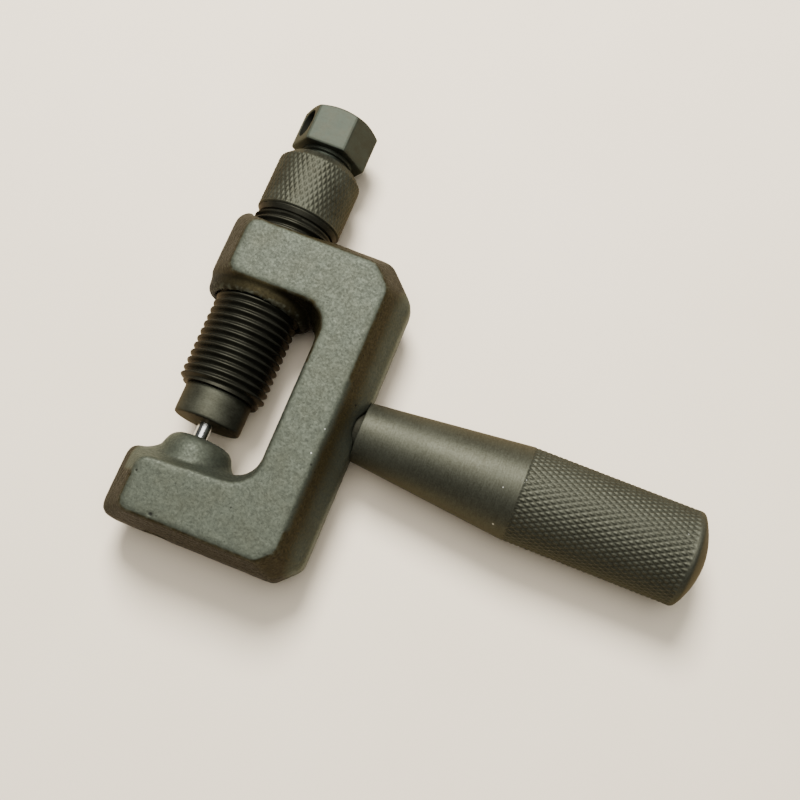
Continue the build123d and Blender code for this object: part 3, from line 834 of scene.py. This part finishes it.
finishPiece("turnedHandle", turnedHandle(handle), "body", ["handle"], handleSteel, 60, 0.3)

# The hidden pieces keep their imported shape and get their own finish
for nodeName, finish in {
    "nose_ring": springSteel, "pin_ring": springSteel, "thrust_ball": ballSteel, "handle_stud": screwSteel,
}.items():
    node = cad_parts[nodeName]
    node.data.materials.clear()
    node.data.materials.append(finish)
print("hidden pieces finished")

# Floor, lights and camera
studio = {
    "floorLight": "#eadcc4", "floorDark": "#e2d2b8", "floorCloudMm": 60.0, "floorSize": 1600.0,
    "floorHeight": -13.0, "aim": (30.0, 30.0, 0.0),
    "keyPlace": (-120.0, 400.0, 620.0), "keySize": 0.30, "keyPower": 15.0,
    "topPlace": (60.0, 60.0, 800.0), "topSize": 0.7, "topPower": 6.0,
    "roomColour": "#cfd2d2", "roomStrength": 0.22,
    "cameraPlace": (68.59, -38.54, 267.01), "lens": 50.04,
    "right": (0.928940, 0.370230, -0.000002), "down": (0.357664, -0.897414, -0.258310),
    "ahead": (-0.095636, 0.239954, -0.966062),
}


def makeFloor(look):
    half = look["floorSize"] / 2
    side = np.linspace(-half, half, 9)
    x, y = np.meshgrid(side, side)
    mesh = meshFromSheets("floor", [np.stack([x, y, 0 * x + look["floorHeight"]], axis=-1)])
    paper, tree, shader, spot = newFinish("paperMatt")  # matt paper: soft shadows and no gloss
    tone = {"Vector": spot, "Scale": 1000 / look["floorCloudMm"], "Detail": 3.0}
    tone = addNode(tree, "ShaderNodeTexNoise", tone)
    tone = {0: tone, 6: linearColour(look["floorLight"]), 7: linearColour(look["floorDark"])}
    tone = addNode(tree, "ShaderNodeMix", tone, 2, data_type="RGBA")
    tree.links.new(tone, shader.inputs["Base Color"])
    shader.inputs["Roughness"].default_value = 0.9
    mesh.materials.append(paper)
    floor = bpy.data.objects.new("floor", mesh)
    bpy.context.scene.collection.objects.link(floor)


def makeLight(name, place, size, power, aim):
    # a round soft light that faces the aim
    lamp = bpy.data.lights.new(name, "AREA")
    lamp.shape, lamp.size, lamp.energy = "DISK", size, power
    holder = bpy.data.objects.new(name, lamp)
    holder.location = np.array(place) * metre
    toward = Vector(np.array(aim) * metre) - holder.location
    holder.rotation_euler = toward.to_track_quat("-Z", "Y").to_euler()
    bpy.context.scene.collection.objects.link(holder)


def makeCamera(look):
    lens = bpy.data.cameras.new("camera")
    lens.lens, lens.sensor_width, lens.clip_start, lens.clip_end = look["lens"], 36.0, 0.01, 10.0
    camera = bpy.data.objects.new("camera", lens)
    turn = np.eye(4)
    turn[:3, 0], turn[:3, 1], turn[:3, 2] = look["right"], -np.array(look["down"]), -np.array(look["ahead"])
    turn[:3, 3] = np.array(look["cameraPlace"]) * metre
    camera.matrix_world = Matrix(turn.tolist())
    bpy.context.scene.collection.objects.link(camera)
    bpy.context.scene.camera = camera


def makeRoom(look):
    # an even pale light from all round
    world = bpy.data.worlds.new("room")
    world.use_nodes = True
    room = next(n for n in world.node_tree.nodes if n.type == "BACKGROUND")
    room.inputs["Color"].default_value = linearColour(look["roomColour"])
    room.inputs["Strength"].default_value = look["roomStrength"]
    bpy.context.scene.world = world


makeFloor(studio)
makeLight("keyLight", studio["keyPlace"], studio["keySize"], studio["keyPower"], studio["aim"])
makeLight("topLight", studio["topPlace"], studio["topSize"], studio["topPower"], studio["aim"])
makeCamera(studio)
makeRoom(studio)
print("studio made")
